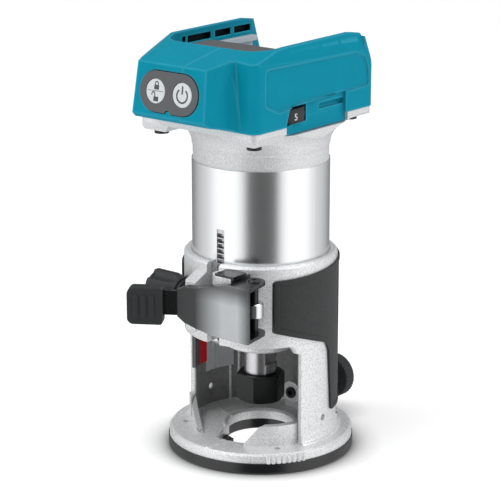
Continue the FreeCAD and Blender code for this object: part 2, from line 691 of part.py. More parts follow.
def bearing_plate():
    """Spider that holds the upper bearing inside the tube."""
    plate_r = TUBE_R - 2.52
    body = ring(plate_r, 9.5, 126.0, 128.0).fuse(ring(plate_r, plate_r - 2.5, 126.0, 133.0))
    body = body.fuse(ring(12.0, 9.5, 126.0, 132.0))
    for k in range(6):
        p = polar(20.0, 60 * k)
        body = body.cut(cyl(4.6, 120, 140, p.x, p.y))
    return body.removeSplitter()


def stator():
    r = TUBE_R - 2.52
    yoke = ring(r, r - 4.5, 76.0, 118.0)
    parts = [yoke]
    for k in range(6):
        tooth = box(13.2, r - 4.0, -2.6, 2.6, 76.0, 118.0)
        shoe = sector(16.2, 13.2, 76.0, 118.0, -22, 22)
        piece = tooth.fuse(shoe)
        piece.rotate(V(0, 0, 0), V(0, 0, 1), 60 * k)
        parts.append(piece)
    return fuse(parts).cut(rack_blank(0.05))


def stator_coils():
    coils = []
    for k in range(6):
        outer = plate(17.0, 24.6, -5.6, 5.6, 72.5, 121.5, 1.5)
        coil = outer.cut(box(16, 26, -2.65, 2.65, 75.95, 118.05))
        coil.rotate(V(0, 0, 0), V(0, 0, 1), 60 * k)
        coils.append(coil)
    return Part.makeCompound(coils)


# ---- spindle ---------------------------------------------------------------------------
def spindle_shaft():
    shaft = cyl(7.9, 36.0, 49.6)
    shaft = shaft.fuse(cyl(8.0, 49.6, 50.2)).fuse(cyl(5.0, 50.0, 134.0))
    shaft = shaft.fuse(cyl(6.5, 24.0, 36.2))
    for sign in (-1, 1):
        x0, x1 = sorted((sign * 6.4, sign * 12.0))
        shaft = shaft.cut(box(x0, x1, -12, 12, 41.0, 47.4))
    bore = cyl(4.4, 20, 30).fuse(cone(4.4, 3.2, 30, 36)).fuse(cyl(3.2, 36, 48))
    return shaft.cut(bore).removeSplitter()


def rotor_core():
    core = cyl(12.8, 77.0, 117.0)
    for k in range(4):
        magnet = box(8.6, 10.6, -5.5, 5.5, 76, 118)
        magnet.rotate(V(0, 0, 0), V(0, 0, 1), 45 + 90 * k)
        core = core.cut(magnet)
    return core.cut(cyl(5.0, 70, 120))


def rotor_magnets():
    parts = []
    for k in range(4):
        magnet = box(8.65, 10.55, -5.4, 5.4, 77.5, 116.5)
        magnet.rotate(V(0, 0, 0), V(0, 0, 1), 45 + 90 * k)
        parts.append(magnet)
    return Part.makeCompound(parts)


def cooling_fan():
    hub = cyl(8.0, 64.5, 72.0)
    disc = cyl(26.0, 64.5, 66.0)
    parts = [hub, disc]
    for k in range(15):
        blade = box(9.0, 25.6, -0.6, 0.6, 65.8, 71.0)
        blade.rotate(V(17, 0, 0), V(0, 0, 1), 28)
        blade.rotate(V(0, 0, 0), V(0, 0, 1), 24 * k)
        parts.append(blade)
    return fuse(parts).cut(cyl(5.0, 60, 80)).common(cyl(26.0, 60, 80))


def collet():
    body = cyl(4.35, 24.0, 30.0).fuse(cone(4.35, 3.5, 30.0, 34.2)).fuse(cone(5.2, 4.35, 23.0, 24.0))
    body = body.cut(cyl(3.175, 20, 40))
    for k in range(3):
        slit = box(0, 8, -0.35, 0.35, 20, 31.5)
        slit.rotate(V(0, 0, 0), V(0, 0, 1), 120 * k)
        body = body.cut(slit)
    return body


def collet_nut():
    nut = hexagon(20.6, 22.4, 35.6, -68)
    dome = cyl(12.2, 22.4, 35.6)
    edges = [e for e in dome.Edges if isinstance(e.Curve, Part.Circle)]
    dome = dome.makeFillet(1.9, edges)
    nut = nut.common(dome).fuse(cyl(9.6, 22.0, 22.6))
    nut = nut.cut(cyl(6.5, 24.0, 40))
    nut = nut.cut(cyl(5.25, 22.9, 24.5)).cut(cyl(4.6, 20, 23))
    return nut.removeSplitter()


# ---- head -----------------------------------------------------------------------------------
def head_profile(shrink=0.0):
    s = shrink
    return [(-62.0 + s, 194.0 - s), (-37.0, 198.9 - s), (-24.0, 200.2 - s), (24.0, 200.8 - s), (32.4, 199.5 - s),
            (39.2 - s, 184.8), (HEAD_REAR - s, 182.4), (HEAD_REAR - s, FLOOR_Z + s), (HEAD_FRONT + s, FLOOR_Z + s),
            (-49.0 + s, 165.6 + s), (-62.5 + s, 168.6 + s), (-65.2 + s, 170.8)]


def head_plan(z0, z1, s=0.0):
    nose = [(-20.6 + s, -70), (-23.8 + s, HEAD_FRONT + s), (-23.8 + s, -30), (23.8 - s, -30),
            (23.8 - s, HEAD_FRONT + s), (20.6 - s, -70)]
    front = prism_z(nose, z0, z1)
    main = box(-HEAD_X + s, HEAD_X - s, HEAD_FRONT + s, HEAD_REAR - s, z0, z1)
    main = rounded(main, 4.5 - s * 0.5, 2)
    body = front.fuse(main).removeSplitter()
    inner = edges_along(body, 2, lambda c: abs(c.y - HEAD_FRONT - s) < 0.2 and abs(c.x) < 25)
    return body.makeFillet(4.0, inner)


def head_outer():
    body = prism_x(head_profile(), -50, 50).common(head_plan(150, 220))
    body = body.removeSplitter()
    return body


def half_space(a, b, c, inset):
    """Large block on the +X side of the plane through three points, moved inwards by inset."""
    n = (b - a).cross(c - a).normalize()
    if n.x < 0:
        n = n * -1
    slab = Part.makeBox(160, 160, 40, V(-80, -80, 0))
    slab.Placement = FreeCAD.Placement(a - n * inset, FreeCAD.Rotation(V(0, 0, 1), n))
    return slab


def head_facets(inset=0.0):
    """What the slim nose, sloped front corners and leaning upper walls take off; inset moves them inwards.

    The left front corner falls away lower than the right one.
    """
    nose = half_space(V(21.4, -65, 168), V(18.8, -65, 196), V(23.8, -47, 196), inset)
    nose = nose.common(box(12, 60, -80, HEAD_FRONT, 150, 220))
    front_right = box(22 - inset, 60, -48, 0, 170, 220)
    corner = half_space(V(24, -47, 196.5), V(35, -47, 195.4), V(27, -32.5, 199.6), inset).common(front_right)
    low_corner = half_space(V(35, -22, 200.3), V(35, -47, 189.5), V(24, -47, 196.5), inset).common(front_right)
    band = half_space(V(35, -47, 194.6), V(35, 26, 191.8), V(33, -22, 200.2), inset)
    band = band.common(box(20, 60, -48, 50, 170, 220))
    return [nose, mirror_x(nose), corner, mirror_x(corner), mirror_x(low_corner), band, mirror_x(band)]


def side_recesses():
    """Relief panel, dial window and finger slot of the right wall."""
    panel = prism_x([(-39.5, 176.0), (-39.5, 192.4), (26.0, 191.4), (33.0, 189.0), (35.6, 184.0),
                     (37.0, 174.8), (24.0, 174.4), (-14.0, 174.2), (-30.0, 172.0)], HEAD_X - 0.7, HEAD_X + 2)
    panel = rounded(panel, 2.4, 0)
    step = prism_x([(-21.0, 173.2), (19.0, 174.6), (19.0, 160.5), (-21.0, 160.5)], HEAD_X - 2.0, HEAD_X + 2)
    slot = box(HEAD_X - 3.6, HEAD_X + 2, 1.2, 19.0, 168.8, 171.4)
    return panel, step, slot


def dial_window():
    return prism_x([(-25.0, 164.9), (-10.4, 164.9), (-10.4, 172.6), (-22.4, 172.6)], 18.0, HEAD_X + 2)


def head_cavity():
    inner = prism_x(head_profile(2.6), -50, 50).common(head_plan(150, 220, 2.6))
    lower = inner.common(box(-50, 50, -80, 60, FLOOR_Z + 0.0, BAY_FLOOR - 2.5))
    nose = inner.common(box(-BAY_X - 1.5, BAY_X + 1.5, -80, BAY_FRONT - 3.0, 170, 220))
    mouth = box(-28.0, 28.0, -34.0, 36.0, 160, BAY_FLOOR - 2.5)
    cavity = fuse([lower, nose, mouth])
    for facet in head_facets(2.4):
        cavity = cavity.cut(facet)
    for sign in (-1, 1):
        x0, x1 = sorted((sign * (HEAD_X - 5.2), sign * HEAD_X))
        cavity = cavity.cut(box(x0, x1, 0.0, 20.2, 167.6, 172.6))
    return cavity


def battery_bay():
    bay = box(-BAY_X, BAY_X, BAY_FRONT, 60, BAY_FLOOR, 220)
    bay = rounded(bay, BAY_CORNER_R, 2, lambda c: c.y < 0)
    lead = prism_z([(BAY_X - 1, 29.9), (BAY_X, 30.3), (BAY_X + 3.3, 42.5), (BAY_X - 1, 42.5)], BAY_FLOOR, 220)
    return fuse([bay, lead, mirror_x(lead)])


def wall_slots():
    """Rail grooves and the row of pockets inside both walls."""
    cuts = []
    for sign in (-1, 1):
        for y0, y1 in ((-20.4, -18.0), (-16.6, 0.0), (3.0, 14.4), (17.0, 29.2)):
            x0, x1 = sorted((sign * (BAY_X - 1), sign * (BAY_X + 2.6)))
            cuts.append(box(x0, x1, y0, y1, 194.4, 197.6))
    return cuts


def head_body():
    body = head_outer()
    for facet in head_facets():
        body = body.cut(facet)
    for tool in side_recesses():
        body = body.cut(tool).cut(mirror_x(tool))
    body = body.cut(head_cavity()).cut(battery_bay())
    for tool in wall_slots():
        body = body.cut(tool)
    body = body.cut(dial_window())
    body = body.cut(on_panel(panel_shape(0.0, -2.0, 8.0)))
    skirts = []
    for sign in (-1, 1):
        x0, x1 = sorted((sign * 31.1, sign * (HEAD_X - 2.0)))
        skirts.append(box(x0, x1, -24.2, 20.9, 160.2, FLOOR_Z + 0.2))
    body = fuse([body] + skirts).cut(dial_window())
    body = body.cut(cyl(DIAL_R + 0.5, 164.9, 172.6, DIAL_X, DIAL_Y))
    for x, y in FLANGE_SCREWS:
        post = cyl(4.2, FLOOR_Z, BAY_FLOOR - 2.0, x, y)
        body = body.fuse(post).cut(cyl(2.05, 160, 176.1, x, y))
    return body.removeSplitter()


def head_shells():
    body = head_body()
    left = body.common(box(-60, SPLIT_X, -80, 60, 150, 220))
    right = body.common(box(SPLIT_X, 60, -80, 60, 150, 220))
    return left, right


# ---- switch panel -------------------------------------------------------------------------------
def panel_shape(inset, y0, y1):
    """Oval panel with a small notch below its centre, faces -Y."""
    w = 17.2 - inset
    h = 9.4 - inset
    body = box(-w, w, y0, y1, -h, h)
    body = rounded(body, h - 0.15, 1)
    notch = cyl_y(1.6, y0 - 1, y1 + 1, 0, -h - 0.2)
    return body.cut(notch)


BUTTON_X = 7.8
BUTTON_R = 5.6


def switch_panel():
    panel = panel_shape(0.25, -0.6, 2.4)
    for sign in (-1, 1):
        panel = panel.cut(cyl_y(BUTTON_R + 0.06, -3, 4, sign * BUTTON_X, 0))
    return on_panel(panel)


def panel_button(x):
    cap = cyl_y(BUTTON_R, -0.45, 2.2, x, 0)
    edges = [e for e in cap.Edges if isinstance(e.Curve, Part.Circle) and e.CenterOfMass.y < 0]
    cap = cap.makeFillet(0.35, edges)
    stem = cyl_y(1.6, 2.2, 2.45, x, 0)
    return on_panel(cap.fuse(stem))


def button_board():
    board = box(-15.0, 15.0, 4.9, 6.5, -7.0, 7.0)
    board = rounded(board, 2.0, 1)
    for sign in (-1, 1):
        board = board.fuse(box(sign * BUTTON_X - 3, sign * BUTTON_X + 3, 4.0, 5.0, -3, 3))
    return on_panel(board.removeSplitter())


# ---- dial -------------------------------------------------------------------------------------------
def speed_dial():
    wheel = cyl(DIAL_R, 165.5, 172.0, DIAL_X, DIAL_Y)
    for k in range(48):
        p = polar(DIAL_R + 0.15, 7.5 * k)
        for z0, z1 in ((165.5, 166.4), (171.1, 172.0)):
            wheel = wheel.cut(cyl(0.35, z0 - 0.1, z1 + 0.1, DIAL_X + p.x, DIAL_Y + p.y))
    return wheel.cut(cyl(2.05, 160, 175, DIAL_X, DIAL_Y))


def dial_post():
    base = box(16.5, 27.5, DIAL_Y - 5, DIAL_Y + 5, 173.0, 176.4)
    return base.fuse(cyl(2.0, 165.4, 173.2, DIAL_X, DIAL_Y)).removeSplitter()


# ---- parts inside the head ------------------------------------------------------------------------------
def controller_board():
    tray = plate(-24.0, 24.0, -30.0, 14.0, 170.0, 171.6, 3.0)
    tray = tray.cut(cyl(DIAL_R + 1.0, 160, 180, DIAL_X, DIAL_Y))
    parts = [tray]
    for x, y in ((-14, -8), (-14, 2), (-4, -8), (-4, 2)):
        parts.append(box(x, x + 6, y, y + 6, 171.4, 175.4))
    parts.append(cyl(5.0, 171.4, 177.6, 2, -20))
    return fuse(parts)


def terminal_block():
    body = box(-22.0, 22.0, -34.6, -9.8, BAY_FLOOR, 196.0)
    body = rounded(body, 1.6, 2)
    body = body.cut(box(-16.0, 16.0, -30.0, -8.8, 186.0, 193.4))
    for x in (-11.0, -4.5, 4.5, 11.0):
        body = body.cut(box(x - 0.45, x + 0.45, -31.0, -24.0, 185.0, 193.0))
    return body.removeSplitter()


def terminal_blades():
    blades = []
    for x in (-11.0, 11.0):
        blades.append(box(x - 0.4, x + 0.4, -31.0, -12.0, 187.6, 192.4))
    for x in (-4.5, 4.5):
        blades.append(box(x - 0.4, x + 0.4, -31.0, -15.0, 188.6, 191.6))
    return Part.makeCompound(blades)


def battery_rail(sign):
    """Light metal rail that guides and holds one edge of the battery."""
    x_in, x_out = 26.6, BAY_X
    pts = [(x_out, BAY_FLOOR + 0.02), (x_out, 192.4), (x_in, 192.4), (x_in, 190.0), (x_out - 1.2, 190.0),
           (x_out - 1.2, BAY_FLOOR + 0.02)]
    rail = prism_y(pts, -23.8, 29.5)
    return rail if sign > 0 else mirror_x(rail)


def latch_plate():
    body = plate(-9.0, 9.0, 25.0, 38.6, BAY_FLOOR, 183.4, 1.2)
    return body.cut(box(-6, 6, 29.0, 33.4, BAY_FLOOR - 1, 190))


def flange_screw(x, y):
    seat = screw_seat(y)
    head = cyl(3.4, seat - 2.2, seat, x, y)
    shank = cyl(2.0, seat - 0.1, 176.0, x, y)
    socket = cyl(1.7, seat - 3.0, seat - 0.9, x, y)
    return head.fuse(shank).cut(socket).removeSplitter()


def main():
    save("base_plate", base_plate())
    names = ("front_right", "front_left", "rear_right", "rear_left")
    for name, (x, y) in zip(names, PLATE_SCREWS):
        save("plate_screw_" + name, plate_screw(x, y))
    for name, shape in zip(("base_flange", "base_wall", "base_collar"), casting_nodes()):
        save(name, shape)
    save("dark_strip", dark_strip())
    save("red_strip", red_strip())
    save("scale_strip", scale_strip())
    save("grip_right", grip(1))
    save("grip_left", grip(-1))
    save("clamp_saddle", clamp_saddle())
    save("clamp_bolt", clamp_bolt())
    save("clamp_nut", clamp_nut())
    save("lever_arm", lever_arm())
    save("lever_tab", lever_tab())
    save("lever_pin", lever_pin())
    save("depth_rack", depth_rack())
    save("pinion_shaft", pinion_shaft())
    save("depth_knob", depth_knob())
    save("guide_washer", guide_washer())
    save("guide_screw", guide_screw())
    save("guide_knob", guide_knob())
    save("motor_housing", motor_housing())
    save("end_bell", end_bell())
    save("bearing_lower", bearing(10.98, 5.0, 54.3, 61.3))
    save("bearing_upper", bearing(9.5, 5.0, 126.0, 132.0))
    save("bearing_plate", bearing_plate())
    save("stator", stator())
    save("stator_coils", stator_coils())
    save("spindle_shaft", spindle_shaft())
    save("rotor_core", rotor_core())
    save("rotor_magnets", rotor_magnets())
    save("cooling_fan", cooling_fan())
    save("collet", collet())
    save("collet_nut", collet_nut())
    left, right = head_shells()
    save("head_shell_left", left)
    save("head_shell_right", right)
    save("switch_panel", switch_panel())
    save("lock_button", panel_button(-BUTTON_X))
    save("power_button", panel_button(BUTTON_X))
    save("button_board", button_board())
    save("speed_dial", speed_dial())
    save("dial_post", dial_post())
    save("controller_board", controller_board())
    save("terminal_block", terminal_block())
    save("terminal_blades", terminal_blades())
    save("battery_rail_right", battery_rail(1))
    save("battery_rail_left", battery_rail(-1))
    save("latch_plate", latch_plate())
    for name, (x, y) in zip(names, FLANGE_SCREWS):
        save("flange_screw_" + name, flange_screw(x, y))


main()
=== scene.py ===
import json
import math

import bmesh
import bpy
from mathutils import Matrix, Vector


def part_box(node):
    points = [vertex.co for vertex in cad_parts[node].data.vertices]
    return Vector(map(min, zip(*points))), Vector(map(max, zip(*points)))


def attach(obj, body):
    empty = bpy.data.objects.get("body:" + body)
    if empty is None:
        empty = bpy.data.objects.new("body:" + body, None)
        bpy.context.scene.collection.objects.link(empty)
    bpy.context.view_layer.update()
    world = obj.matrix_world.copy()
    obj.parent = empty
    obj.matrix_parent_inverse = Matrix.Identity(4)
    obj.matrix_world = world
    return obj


MM = 0.001

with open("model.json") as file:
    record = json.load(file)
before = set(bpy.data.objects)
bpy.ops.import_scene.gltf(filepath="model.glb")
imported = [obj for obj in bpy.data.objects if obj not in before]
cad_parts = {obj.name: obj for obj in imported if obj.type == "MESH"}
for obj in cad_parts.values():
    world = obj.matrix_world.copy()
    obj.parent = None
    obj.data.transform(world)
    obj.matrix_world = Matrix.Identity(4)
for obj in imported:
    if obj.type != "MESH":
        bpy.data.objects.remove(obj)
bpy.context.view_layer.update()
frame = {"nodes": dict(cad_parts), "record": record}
nodes = frame["nodes"]
scene = bpy.context.scene

# Places that some materials depend on, in metres. A range with soft ends has a rising and a falling stretch.
POCKET_X = (0.0309, 0.03315)                     # pockets in the battery bay's walls, either side, made nearly black with painted shade
POCKET_Y = (-0.0205, 0.0293)
POCKET_Z = (0.1943, 0.1977)
CHAMBER_RADIUS = ((0.0332, 0.0334), (0.0338, 0.0346))    # painted shade: darker wall round the collet
CHAMBER_Z = ((0.0106, 0.0112), (0.0585, 0.0592))
TURNED_TOP = 0.1420                              # the motor tube is turned below this and cast above


# ---- materials -------------------------------------------------------------
class Graph:
    """A material's node tree with short helpers. Coordinates are the part's own, in metres."""

    def __init__(self, name):
        self.material = bpy.data.materials.new(name)
        self.material.use_nodes = True
        self.tree = self.material.node_tree
        self.tree.nodes.clear()
        self.out = self.add("ShaderNodeOutputMaterial")
        self.shader = self.add("ShaderNodeBsdfPrincipled")
        self.link(self.shader.outputs[0], self.out.inputs["Surface"])
        self.where = self.add("ShaderNodeTexCoord").outputs["Object"]

    def add(self, kind, **settings):
        node = self.tree.nodes.new(kind)
        for key, value in settings.items():
            setattr(node, key, value)
        return node

    def link(self, source, target):
        self.tree.links.new(source, target)

    def put(self, target, value):
        """Sets an input to a number, a colour or another node's output."""
        if isinstance(value, bpy.types.NodeSocket):
            self.link(value, target)
        elif isinstance(value, (tuple, list)) and target.type == "RGBA" and len(value) == 3:
            target.default_value = (*value, 1.0)
        else:
            target.default_value = value

    def set(self, name, value):
        self.put(self.shader.inputs[name], value)

    def noise(self, scale, detail=3.0, stretch=None, rough=0.55):
        node = self.add("ShaderNodeTexNoise")
        node.inputs["Scale"].default_value = scale
        node.inputs["Detail"].default_value = detail
        node.inputs["Roughness"].default_value = rough
        where = self.where
        if stretch:
            mapping = self.add("ShaderNodeMapping")
            mapping.inputs["Scale"].default_value = stretch
            self.link(self.where, mapping.inputs["Vector"])
            where = mapping.outputs[0]
        self.link(where, node.inputs["Vector"])
        return node.outputs["Fac"]

    def cells(self, scale, feature="F1"):
        node = self.add("ShaderNodeTexVoronoi", feature=feature)
        node.inputs["Scale"].default_value = scale
        self.link(self.where, node.inputs["Vector"])
        return node.outputs["Distance"]

    def ramp(self, source, low, high, at=(0.0, 1.0)):
        """Maps a 0-1 value from the range at to the range low-high."""
        node = self.add("ShaderNodeMapRange", clamp=True)
        self.link(source, node.inputs["Value"])
        node.inputs["From Min"].default_value = at[0]
        node.inputs["From Max"].default_value = at[1]
        node.inputs["To Min"].default_value = low
        node.inputs["To Max"].default_value = high
        return node.outputs["Result"]

    def math(self, operation, a, b=0.0):
        node = self.add("ShaderNodeMath", operation=operation)
        self.put(node.inputs[0], a)
        self.put(node.inputs[1], b)
        return node.outputs[0]

    def mix(self, share, a, b):
        node = self.add("ShaderNodeMix", data_type="RGBA")
        self.put(node.inputs["Factor"], share)
        self.put(node.inputs[6], a)
        self.put(node.inputs[7], b)
        return node.outputs[2]

    def axis(self, index):
        node = self.add("ShaderNodeSeparateXYZ")
        self.link(self.where, node.inputs[0])
        return node.outputs[index]

    def radius(self):
        """Distance from the motor axis."""
        x, y = self.axis(0), self.axis(1)
        return self.math("SQRT", self.math("ADD", self.math("MULTIPLY", x, x), self.math("MULTIPLY", y, y)))

    def product(self, first, *others):
        for factor in others:
            first = self.math("MULTIPLY", first, factor)
        return first

    def within(self, value, low, high):
        """1 where a value lies between two limits, and 0 elsewhere."""
        return self.product(self.math("GREATER_THAN", value, low), self.math("LESS_THAN", value, high))

    def span(self, value, rise, fall):
        """Climbs from 0 to 1 over the stretch rise, and falls back to 0 over the stretch fall."""
        return self.product(self.ramp(value, 0.0, 1.0, at=rise), self.ramp(value, 1.0, 0.0, at=fall))

    def edges(self, radius):
        """Shading normal with every sharp edge softened to this radius."""
        node = self.add("ShaderNodeBevel", samples=6)
        node.inputs["Radius"].default_value = radius
        return node.outputs["Normal"]

    def bump(self, height, depth, normal=None, strength=1.0):
        node = self.add("ShaderNodeBump")
        node.inputs["Strength"].default_value = strength
        node.inputs["Distance"].default_value = depth
        self.link(height, node.inputs["Height"])
        if normal is not None:
            self.link(normal, node.inputs["Normal"])
        return node.outputs["Normal"]

    def edge_wear_and_sheen(self, radius):
        """1 on exposed edges and 0 elsewhere, from the mesh's own shape; used for worn edges and for painted
        edge highlights.
        """
        geometry = self.add("ShaderNodeNewGeometry")
        bevel = self.edges(radius)
        dot = self.add("ShaderNodeVectorMath", operation="DOT_PRODUCT")
        self.link(geometry.outputs["Normal"], dot.inputs[0])
        self.link(bevel, dot.inputs[1])
        return self.ramp(dot.outputs["Value"], 1.0, 0.0, at=(0.95, 0.999))


def shade(color, factor):
    return tuple(min(1.0, c * factor) for c in color)


def moulded(name, color, rough=0.42, grain=2600, depth=0.012, edge=0.35, gloss=0.5, edge_wear_and_sheen=0.12, pockets=False):
    """Spark-textured plastic: fine grain, cloudy gloss and edges made paler with a painted highlight, with
    depth and edge in millimetres.

    With pockets, painted shade makes the pockets in the battery bay's walls nearly black.
    """
    g = Graph(name)
    cloud = g.noise(90, 4.0)
    speck = g.noise(grain, 2.0)
    base = g.mix(cloud, shade(color, 0.93), shade(color, 1.07))
    base = g.mix(g.ramp(speck, 0.0, 0.10, at=(0.35, 0.75)), base, shade(color, 1.35))
    # painted highlight: the edges are mixed towards a paler tint
    pale = tuple(min(1.0, c * 1.45 + 0.05) for c in color)
    base = g.mix(g.math("MULTIPLY", g.edge_wear_and_sheen(edge * MM * 1.6), edge_wear_and_sheen), base, pale)
    if pockets:
        # painted shade: nearly black inside the pockets in the battery bay's walls
        across = g.within(g.math("ABSOLUTE", g.axis(0)), *POCKET_X)
        pocket_shade = g.product(across, g.within(g.axis(2), *POCKET_Z), g.within(g.axis(1), *POCKET_Y))
        base = g.mix(pocket_shade, base, (0.003, 0.012, 0.016))
    g.set("Base Color", base)
    g.set("Roughness", g.ramp(g.noise(160, 3.0), rough - 0.05, rough + 0.06))
    g.set("Specular IOR Level", gloss)
    g.set("Normal", g.bump(speck, depth * MM, g.edges(edge * MM)))
    return g.material


def cast(name, color, rough=0.40, edge=0.5):
    """Cast aluminium under clear lacquer, sugar-like grain; painted shade makes the wall inside the spindle
    chamber dark, and it is rougher there.
    """
    g = Graph(name)
    grain = g.noise(1500, 5.0, rough=0.75)
    sparkle = g.cells(2600)
    cloud = g.noise(45, 3.0)
    base = g.mix(cloud, shade(color, 0.95), shade(color, 1.03))
    base = g.mix(g.ramp(grain, 0.0, 1.0, at=(0.42, 0.70)), base, shade(color, 0.50))
    base = g.mix(g.ramp(sparkle, 0.7, 0.0, at=(0.05, 0.25)), base, (1.0, 1.0, 1.0))
    # painted shade: the base colour turns dark on the wall inside the spindle chamber
    inside = g.product(g.span(g.radius(), *CHAMBER_RADIUS), g.span(g.axis(2), *CHAMBER_Z))
    chamber_shade = g.mix(g.noise(320, 5.0), (0.16, 0.163, 0.16), (0.34, 0.347, 0.34))
    g.set("Base Color", g.mix(inside, base, chamber_shade))
    g.set("Metallic", 0.38)
    lacquered = g.ramp(grain, rough - 0.06, rough + 0.12)
    g.set("Roughness", g.math("ADD", lacquered, g.math("MULTIPLY", inside, 0.15)))
    g.set("Coat Weight", 0.2)
    g.set("Coat Roughness", 0.2)
    g.set("Normal", g.bump(grain, 0.060 * MM, g.edges(edge * MM), 0.9))
    return g.material


def turned_tube(name):
    """Turned and brushed tube whose flared neck, from TURNED_TOP up, is left as cast."""
    g = Graph(name)
    rings = g.noise(1.0, 5.0, stretch=(30, 30, 5200), rough=0.75)
    lines = g.noise(1.0, 2.0, stretch=(260, 260, 14000))
    grain = g.noise(1500, 5.0, rough=0.75)
    cast_share = g.ramp(g.axis(2), 0.0, 1.0, at=(TURNED_TOP - 0.0001, TURNED_TOP + 0.0003))
    turned = g.mix(rings, (0.80, 0.81, 0.82), (0.88, 0.885, 0.89))
    rough_cast = g.mix(g.ramp(grain, 0.0, 1.0, at=(0.40, 0.70)), (0.76, 0.765, 0.77), (0.46, 0.465, 0.47))
    g.set("Base Color", g.mix(cast_share, turned, rough_cast))
    g.set("Metallic", g.math("SUBTRACT", 1.0, g.math("MULTIPLY", cast_share, 0.70)))
    smooth = g.ramp(g.math("ADD", rings, g.math("MULTIPLY", lines, 0.4)), 0.17, 0.27, at=(0.4, 1.0))
    blend = g.add("ShaderNodeMix", data_type="FLOAT")
    g.link(cast_share, blend.inputs[0])
    g.link(smooth, blend.inputs[2])
    blend.inputs[3].default_value = 0.40
    g.link(blend.outputs[0], g.shader.inputs["Roughness"])
    g.set("Anisotropic", g.math("MULTIPLY", g.math("SUBTRACT", 1.0, cast_share), 0.55))
    tangent = g.add("ShaderNodeTangent", direction_type="RADIAL", axis="Z")
    g.link(tangent.outputs[0], g.shader.inputs["Tangent"])
    fine = g.bump(rings, 0.0025 * MM, g.edges(0.4 * MM), 0.6)
    height = g.math("MULTIPLY", grain, cast_share)
    g.set("Normal", g.bump(height, 0.018 * MM, fine, 0.8))
    return g.material


def ground_metal(name, color, rough=0.25, stretch=(900, 900, 60), edge=0.2, depth=0.004):
    """Bare or plated metal with fine grinding lines and brighter edges."""
    g = Graph(name)
    lines = g.noise(1.0, 4.0, stretch=stretch, rough=0.7)
    cloud = g.noise(120, 3.0)
    base = g.mix(lines, shade(color, 0.85), shade(color, 1.08))
    g.set("Base Color", g.mix(g.math("MULTIPLY", g.edge_wear_and_sheen(edge * MM * 1.5), 0.35), base, shade(color, 1.7)))
    g.set("Metallic", 1.0)
    g.set("Roughness", g.ramp(cloud, rough - 0.05, rough + 0.08))
    g.set("Normal", g.bump(lines, depth * MM, g.edges(edge * MM)))
    return g.material


def coated_sheet(name):
    """Black-chromed pressed sheet with a painted highlight across the lever's web, darker towards its ends,
    its top rim and behind the web.
    """
    g = Graph(name)
    peel = g.noise(700, 2.0)
    # painted highlight: base colour brightened across the middle of the web
    painted_highlight = g.product(
        g.ramp(g.axis(0), 0.0, 1.0, at=(0.003, 0.018)),
        g.ramp(g.axis(0), 1.0, 0.25, at=(0.027, 0.033)),
        g.ramp(g.axis(2), 1.0, 0.2, at=(0.085, 0.092)),
        g.ramp(g.axis(1), 1.0, 0.1, at=(-0.0492, -0.0482)),
        g.ramp(g.noise(60, 3.0), 0.85, 1.1),
    )
    base = g.mix(painted_highlight, (0.050, 0.053, 0.053), (0.46, 0.48, 0.485))
    scuff = g.math("MULTIPLY", g.edge_wear_and_sheen(0.5 * MM), g.ramp(g.noise(900, 3.0), 0.0, 0.6, at=(0.45, 0.7)))
    g.set("Base Color", g.mix(scuff, base, (0.55, 0.56, 0.56)))
    g.set("Metallic", 0.96)
    g.set("Roughness", g.ramp(g.noise(200, 4.0), 0.20, 0.30))
    g.set("Normal", g.bump(peel, 0.006 * MM, g.edges(0.45 * MM), 0.6))
    return g.material


def elastomer(name, color, pebble=850):
    """Soft grip rubber with a pebbled hide and worn, slightly paler high spots."""
    g = Graph(name)
    pebbles = g.cells(pebble, "SMOOTH_F1")
    fine = g.noise(2600, 2.0)
    cloud = g.noise(70, 3.0)
    base = g.mix(cloud, shade(color, 0.85), shade(color, 1.15))
    g.set("Base Color", g.mix(g.ramp(pebbles, 0.30, 0.0, at=(0.1, 0.6)), base, shade(color, 1.9)))
    g.set("Roughness", g.ramp(g.noise(300, 3.0), 0.55, 0.70))
    g.set("Specular IOR Level", 0.45)
    g.set("Sheen Weight", 0.06)
    low = g.bump(pebbles, 0.07 * MM, g.edges(0.5 * MM), 0.9)
    g.set("Normal", g.bump(fine, 0.008 * MM, low, 0.7))
    return g.material


def windings(name):
    """Enamelled copper wire, wound in close turns."""
    g = Graph(name)
    wave = g.add("ShaderNodeTexWave", wave_type="BANDS", bands_direction="Z")
    wave.inputs["Scale"].default_value = 420
    wave.inputs["Distortion"].default_value = 0.6
    g.link(g.where, wave.inputs["Vector"])
    g.set("Base Color", g.mix(wave.outputs["Fac"], (0.30, 0.08, 0.02), (0.75, 0.28, 0.09)))
    g.set("Metallic", 0.8)
    g.set("Roughness", 0.3)
    g.set("Normal", g.bump(wave.outputs["Fac"], 0.15 * MM))
    return g.material


def board(name):
    """Lacquered circuit board with copper tracks under the solder mask."""
    g = Graph(name)
    tracks = g.cells(420, "DISTANCE_TO_EDGE")
    copper = g.ramp(tracks, 1.0, 0.0, at=(0.04, 0.10))
    g.set("Base Color", g.mix(copper, (0.01, 0.09, 0.035), (0.03, 0.2, 0.08)))
    g.set("Roughness", g.ramp(g.noise(300), 0.22, 0.4))
    g.set("Normal", g.bump(tracks, 0.02 * MM))
    return g.material


